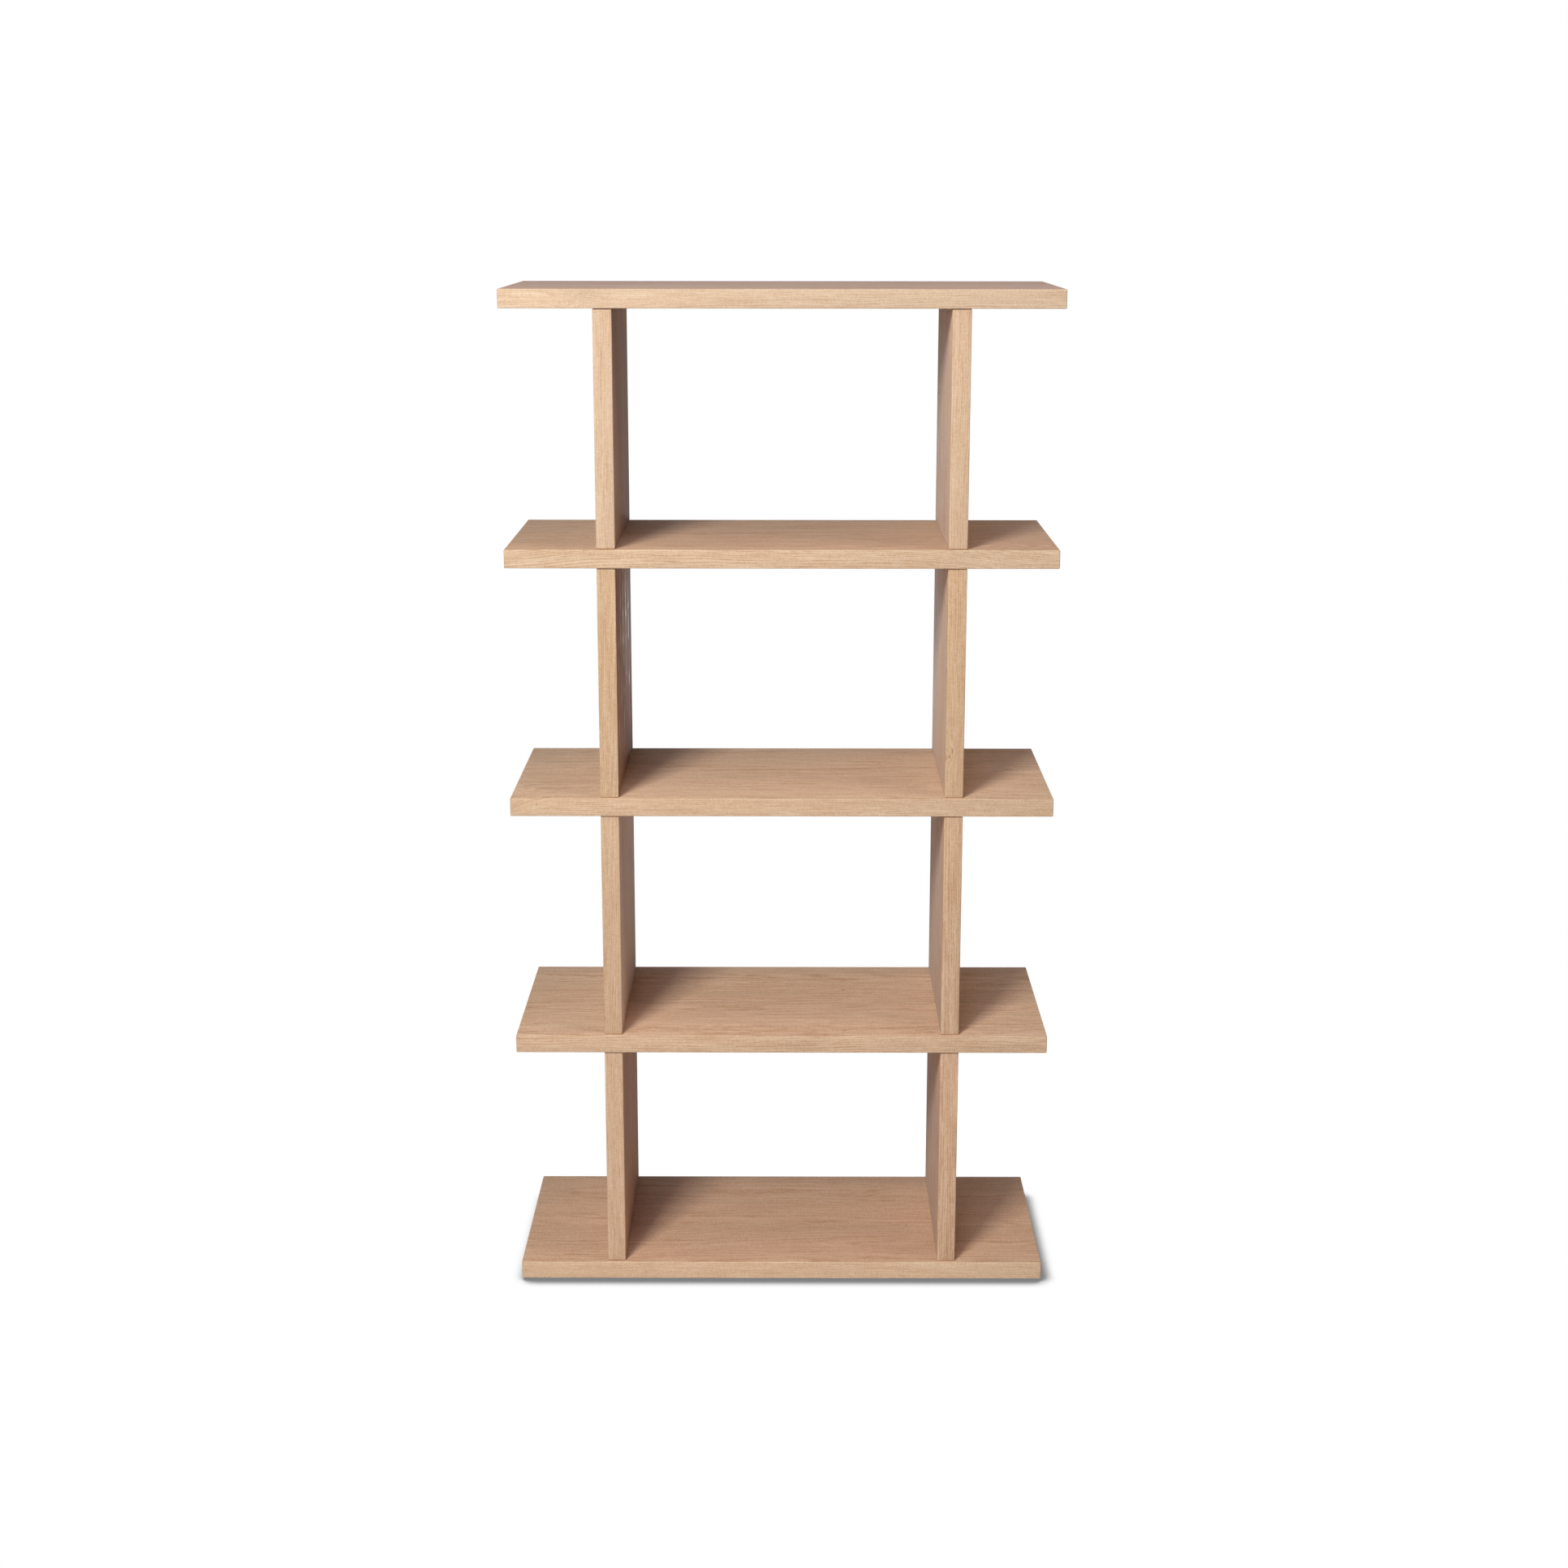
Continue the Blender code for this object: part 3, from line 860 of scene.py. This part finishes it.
def metal(name, clean, tinted, dirt, marks, crest, root, dullness):
    """Turned metal: a clouded colour, tool marks, and dirt left where the thread is deep."""
    finish = Finish(name)
    seen, radius, angle = about_axis(finish, ROD_STATION)
    height = finish.split(seen)[2]
    cloud = finish.rise(finish.noise(seen, (60.0, 60.0, 25.0), 3.0), 0.35, 0.65)
    colour = finish.mixed(cloud, clean, tinted)
    tool_marks = finish.noise(finish.joined(radius, height, angle * 0.001), marks, 2.0)
    handling = finish.noise(seen, (900.0, 900.0, 120.0), 2.0)
    scratches = finish.rise(handling, 0.58, 0.66)
    worn = finish.rise(radius, root, crest)
    grime = (1 - worn) * 0.6 + finish.rise(cloud * handling, 0.25, 0.6) * 0.2
    colour = finish.mixed(grime, colour, dirt)
    roughness = (tool_marks - 0.5) * 0.25 + scratches * 0.12 - worn * 0.08 + dullness
    relief = tool_marks * 0.6 - scratches * 0.4
    normal = finish.node(
        "ShaderNodeBump", {}, {"Strength": 0.25, "Distance": 0.05 * MM, "Height": relief}
    )
    sockets = {"Base Color": colour, "Metallic": 1.0, "Roughness": roughness, "Normal": normal}
    return finish.done(finish.node("ShaderNodeBsdfPrincipled", {}, sockets))


def moulded_nylon():
    finish = Finish("moulded_nylon")
    seen, radius, _ = about_axis(finish, GLIDE_STATION)
    height = finish.split(seen)[2]
    grain = finish.noise(seen, (2600.0, 2600.0, 2600.0), 2.0)
    rubbed = finish.noise(seen, (160.0, 900.0, 300.0), 3.0)
    sole = 1 - finish.rise(height, 0.2 * MM, 1.6 * MM)
    scuffs = finish.rise(rubbed, 0.48, 0.62) * sole
    colour = finish.mixed(scuffs * 0.8 + grain * 0.08, NYLON, SCUFFED_NYLON)
    roughness = grain * 0.12 + scuffs * 0.2 + finish.rise(radius, 0, 15 * MM) * 0.05 + 0.42
    normal = finish.node(
        "ShaderNodeBump", {}, {"Strength": 0.3, "Distance": 0.04 * MM, "Height": grain + scuffs}
    )
    sockets = {"Base Color": colour, "Roughness": roughness, "Normal": normal}
    sockets["IOR"] = 1.53
    return finish.done(finish.node("ShaderNodeBsdfPrincipled", {}, sockets))


DRAWN = (3000.0, 30.0, 900.0)
TURNED = (5000.0, 5000.0, 40.0)
ROD_CREST, ROD_ROOT = 3.95 * MM, 3.35 * MM
zinc = metal("zinc", ZINC_BLUE, ZINC_STRAW, OILED_STEEL, DRAWN, ROD_CREST, ROD_ROOT, 0.36)
nickel = metal("nickel", NICKEL, ZINC_BLUE, OILED_STEEL, TURNED, 6.2 * MM, 4.2 * MM, 0.32)
brass = metal("brass", BRASS, BRASS, DULL_BRASS, TURNED, 6.7 * MM, 5.7 * MM, 0.38)
nylon = moulded_nylon()
print("finishes", zinc.name, nickel.name, brass.name, nylon.name)

# %% [markdown]
# A tie rod is threaded at both ends. One end is swept first and carried on as a round shank to
# almost half way. Its end is chamfered by drawing in what stands out of a cone. A copy turned end
# over end is the other half, and a bridge closes the gap.

# %% Tie rods
ROD_RADIUS = 4 * MM
THREAD_ROOT = 3.3 * MM
THREAD_PITCH = 1.25 * MM
THREAD_LENGTH = 24 * MM
RUN_OUT = 0.7 * MM
POINT_RADIUS = 3 * MM
BRIDGE = 2 * MM
ROD_SIDES = 16
TURN_ON = 0.9


def verts_in(geometry):
    return [item for item in geometry if isinstance(item, bmesh.types.BMVert)]


def rod_mesh(length):
    """A rod that stands on the origin, threaded and chamfered at both ends."""
    bm = threaded(THREAD_ROOT, ROD_RADIUS, THREAD_PITCH, THREAD_LENGTH, ROD_SIDES)
    start = bmesh.ops.extrude_edge_only(bm, edges=rim_at(bm, THREAD_LENGTH))["geom"]
    shank = THREAD_LENGTH + RUN_OUT
    for vert in verts_in(start):
        outwards = vert.co.xy.normalized() * ROD_RADIUS
        vert.co = (outwards.x, outwards.y, shank)
    stop = bmesh.ops.extrude_edge_only(bm, edges=rim_at(bm, shank))["geom"]
    lift = (length - BRIDGE) / 2 - shank
    bmesh.ops.translate(bm, vec=(0, 0, lift), verts=verts_in(stop))
    bmesh.ops.edgeloop_fill(bm, edges=rim_at(bm, 0))
    for vert in bm.verts:
        within = min(1, (POINT_RADIUS + vert.co.z) / vert.co.xy.length)
        vert.co = (vert.co.x * within, vert.co.y * within, vert.co.z)
    half = bm.verts[:] + bm.edges[:] + bm.faces[:]
    other_half = verts_in(bmesh.ops.duplicate(bm, geom=half)["geom"])
    over = Matrix.Rotation(math.pi, 3, "X")
    bmesh.ops.rotate(bm, cent=(0, 0, length / 2), matrix=over, verts=other_half)
    rims = rim_at(bm, (length - BRIDGE) / 2) + rim_at(bm, (length + BRIDGE) / 2)
    bmesh.ops.bridge_loops(bm, edges=rims)
    return finished(bm, "tie_rod")


def placed_copy(mesh, node, turn):
    """A copy of a mesh made at the origin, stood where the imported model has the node."""
    low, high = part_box(node)
    foot = Vector(((low.x + high.x) / 2, (low.y + high.y) / 2, low.z))
    copy = mesh.copy()
    copy.transform(Matrix.Translation(foot) @ Matrix.Rotation(turn, 4, "Z"))
    return copy


def add_fixings(master, nodes, material):
    for count, node in enumerate(nodes):
        add_piece(node, placed_copy(master, node, count * TURN_ON), material)
    print(len(nodes), "of", master.name, "with", len(master.polygons), "faces each")


rod_nodes = [f"tie_rod_{s}_{e}_tier_{t}" for t in TIERS for s in SIDES for e in ENDS]
rod_low, rod_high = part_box(rod_nodes[0])
rod = rod_mesh(rod_high.z - rod_low.z)
add_fixings(rod, rod_nodes, zinc)

# %% [markdown]
# A sleeve nut has a wide flange that pulls on the shelf, a sleeve that lines the hole, and a
# hexagon socket for the key. Its profile is closed, so the spin gives the bore as well, and a
# prism of six sides cuts the socket.

# %% Sleeve nuts
NUT_PROFILE = [(4.3, 0), (12.4, 0), (13.07, 0.7), (13.07, 2.6), (12.7, 3), (7.6, 3)]
NUT_PROFILE += [(7.07, 3.5), (7.07, 30), (6.5, 30.5), (4.9, 30.5), (4.3, 29.9)]
HEX_CORNER = 5.77
HEX_DEPTH = 5

blank = finished(turned(NUT_PROFILE, 64, closed=True), "sleeve_nut")
key_shape = finished(turned(hole(HEX_CORNER, -2, HEX_DEPTH), 6), "hexagon")
nut = cut_by(blank, key_shape)
nut_nodes = [f"{shelf}_nut_{s}_{e}" for shelf in SHELVES[:-1] for s in SIDES for e in ENDS]
add_fixings(nut, nut_nodes, nickel)

# %% [markdown]
# An insert is a short brass bush with a coarse thread outside, which bites into the oak of the top
# shelf, and a bore that takes the end of a rod.

# %% Threaded inserts
INSERT_ROOT = 5.6 * MM
INSERT_CREST = 6.8 * MM
INSERT_PITCH = 3 * MM
INSERT_SIDES = 32

insert_nodes = [f"top_shelf_insert_{side}_{end}" for side in SIDES for end in ENDS]
insert_low, insert_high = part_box(insert_nodes[0])
insert_length = insert_high.z - insert_low.z
bm = threaded(INSERT_ROOT, INSERT_CREST, INSERT_PITCH, insert_length, INSERT_SIDES)
for height in (0, insert_length):
    bmesh.ops.edgeloop_fill(bm, edges=rim_at(bm, height))
bush = finished(bm, "threaded_insert")
bore = finished(turned(hole(4.3, -1, insert_length / MM + 1), INSERT_SIDES), "bore")
insert = cut_by(bush, bore)
add_fixings(insert, insert_nodes, brass)

# %% [markdown]
# The feet are moulded in nylon: a low round sole with soft rims, and a barbed stem that holds in
# its hole by the barbs. One profile spun round makes it.

# %% Glides
SOLE = [(0, 0.4), (4.6, 0.4), (5.2, 0), (12.2, 0), (13.6, 0.3), (14.6, 1), (15, 1.9), (15, 4.3)]
STEM_FOOT = [(14.8, 4.8), (14.3, 5), (4.4, 5), (4, 5.4), (4, 7.2)]
BARBS = [point for z in (8, 11, 14, 17, 20) for point in ((3.3, z), (4, z + 0.5), (3.4, z + 2.6))]
STEM_TIP = [(3.3, 23), (3.3, 24.2), (2.5, 25), (0, 25)]

glide = finished(turned(SOLE + STEM_FOOT + BARBS + STEM_TIP, 48), "glide")
glide_nodes = [f"glide_{side}_{end}" for side in SIDES for end in ENDS]
add_fixings(glide, glide_nodes, nylon)
